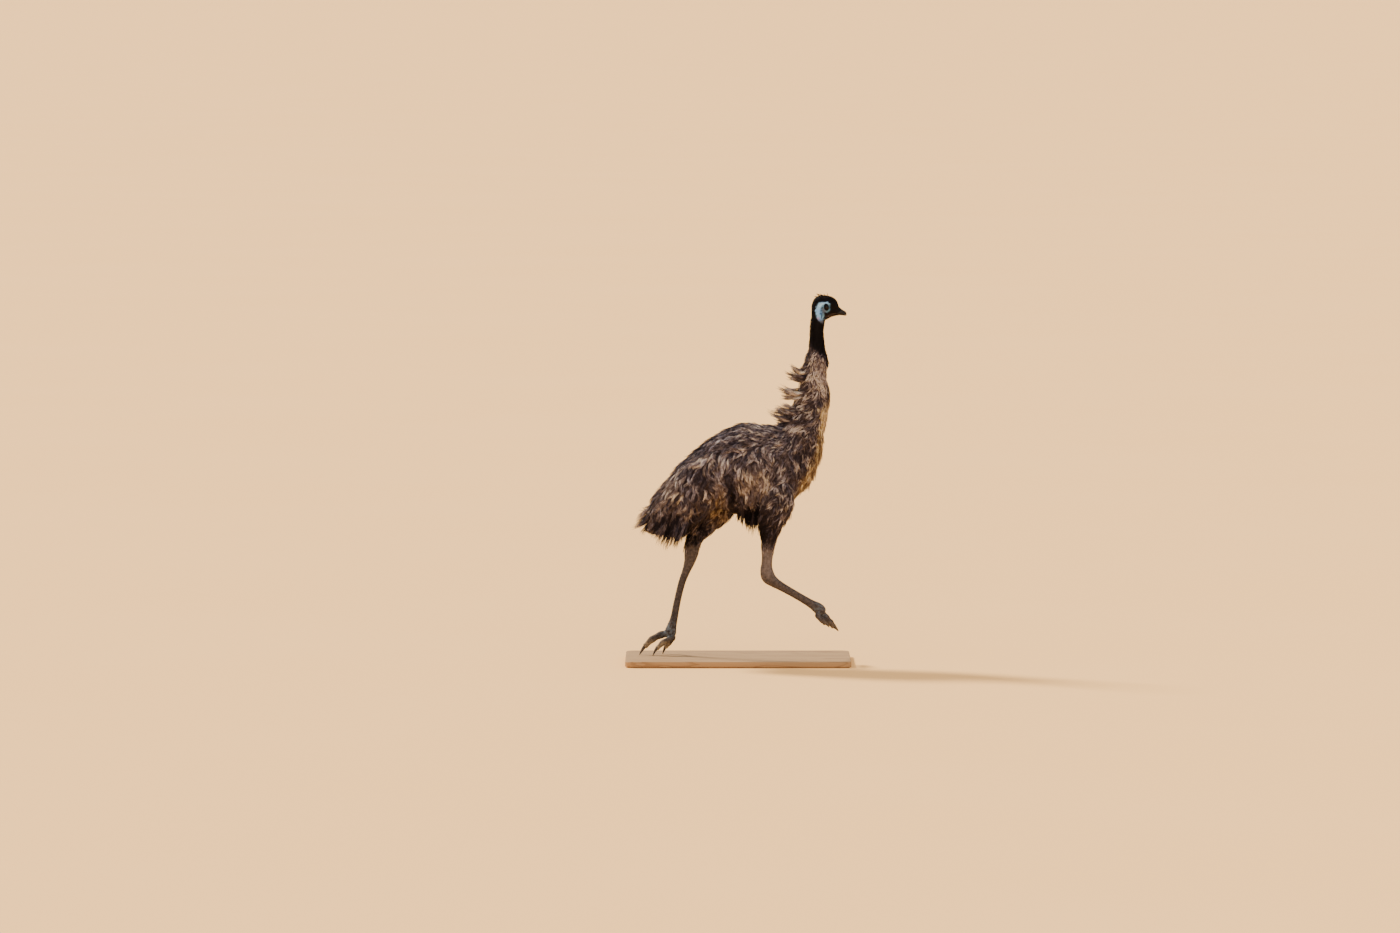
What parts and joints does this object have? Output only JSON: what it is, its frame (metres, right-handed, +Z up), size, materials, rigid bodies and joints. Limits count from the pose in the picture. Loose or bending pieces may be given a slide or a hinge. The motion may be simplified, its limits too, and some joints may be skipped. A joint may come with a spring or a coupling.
{
  "type": "emu",
  "caption": "Life-size emu in full stride, neck upright and plumes blown back, its pushing foot on a flat wooden display base.",
  "frame": {"origin": "centre of the display base's underside, at floor level", "axes": "+X the way the bird runs, +Y towards its left side, +Z up"},
  "size_m": [1.08, 0.58, 1.7683],
  "materials": {
    "plumage": "loose, shaggy double-shafted feathers",
    "ruff": "soft, ragged neck feathers",
    "neck": "short black hair-like feathers",
    "face": "bare pale blue skin under sparse black bristles",
    "bill": "dark horn, softly worn",
    "eye": "wet and clear over a brown iris",
    "scutes": "dry scales and scutes",
    "claw": "dark horn, dusty",
    "stand": "plain pale wood, satin"
  },
  "bodies": {
    "root": {"head": "face", "neck_upper": "neck", "neck_middle": "ruff", "neck_lower": "ruff", "trunk": "plumage", "tail": "plumage", "wing_left": "plumage", "wing_right": "plumage", "thigh_left": "plumage", "thigh_right": "plumage", "shank_left": "scutes", "shank_right": "scutes", "tarsus_left": "scutes", "tarsus_right": "scutes", "toe_inner_left": "scutes", "toe_middle_left": "scutes", "toe_outer_left": "scutes", "toe_inner_right": "scutes", "toe_middle_right": "scutes", "toe_outer_right": "scutes", "claw_inner_left": "claw", "claw_middle_left": "claw", "claw_outer_left": "claw", "claw_inner_right": "claw", "claw_middle_right": "claw", "claw_outer_right": "claw", "bill_upper": "bill", "bill_lower": "bill", "eye_left": "eye", "eye_right": "eye", "stand_base": "stand"}
  },
  "joints": []
}
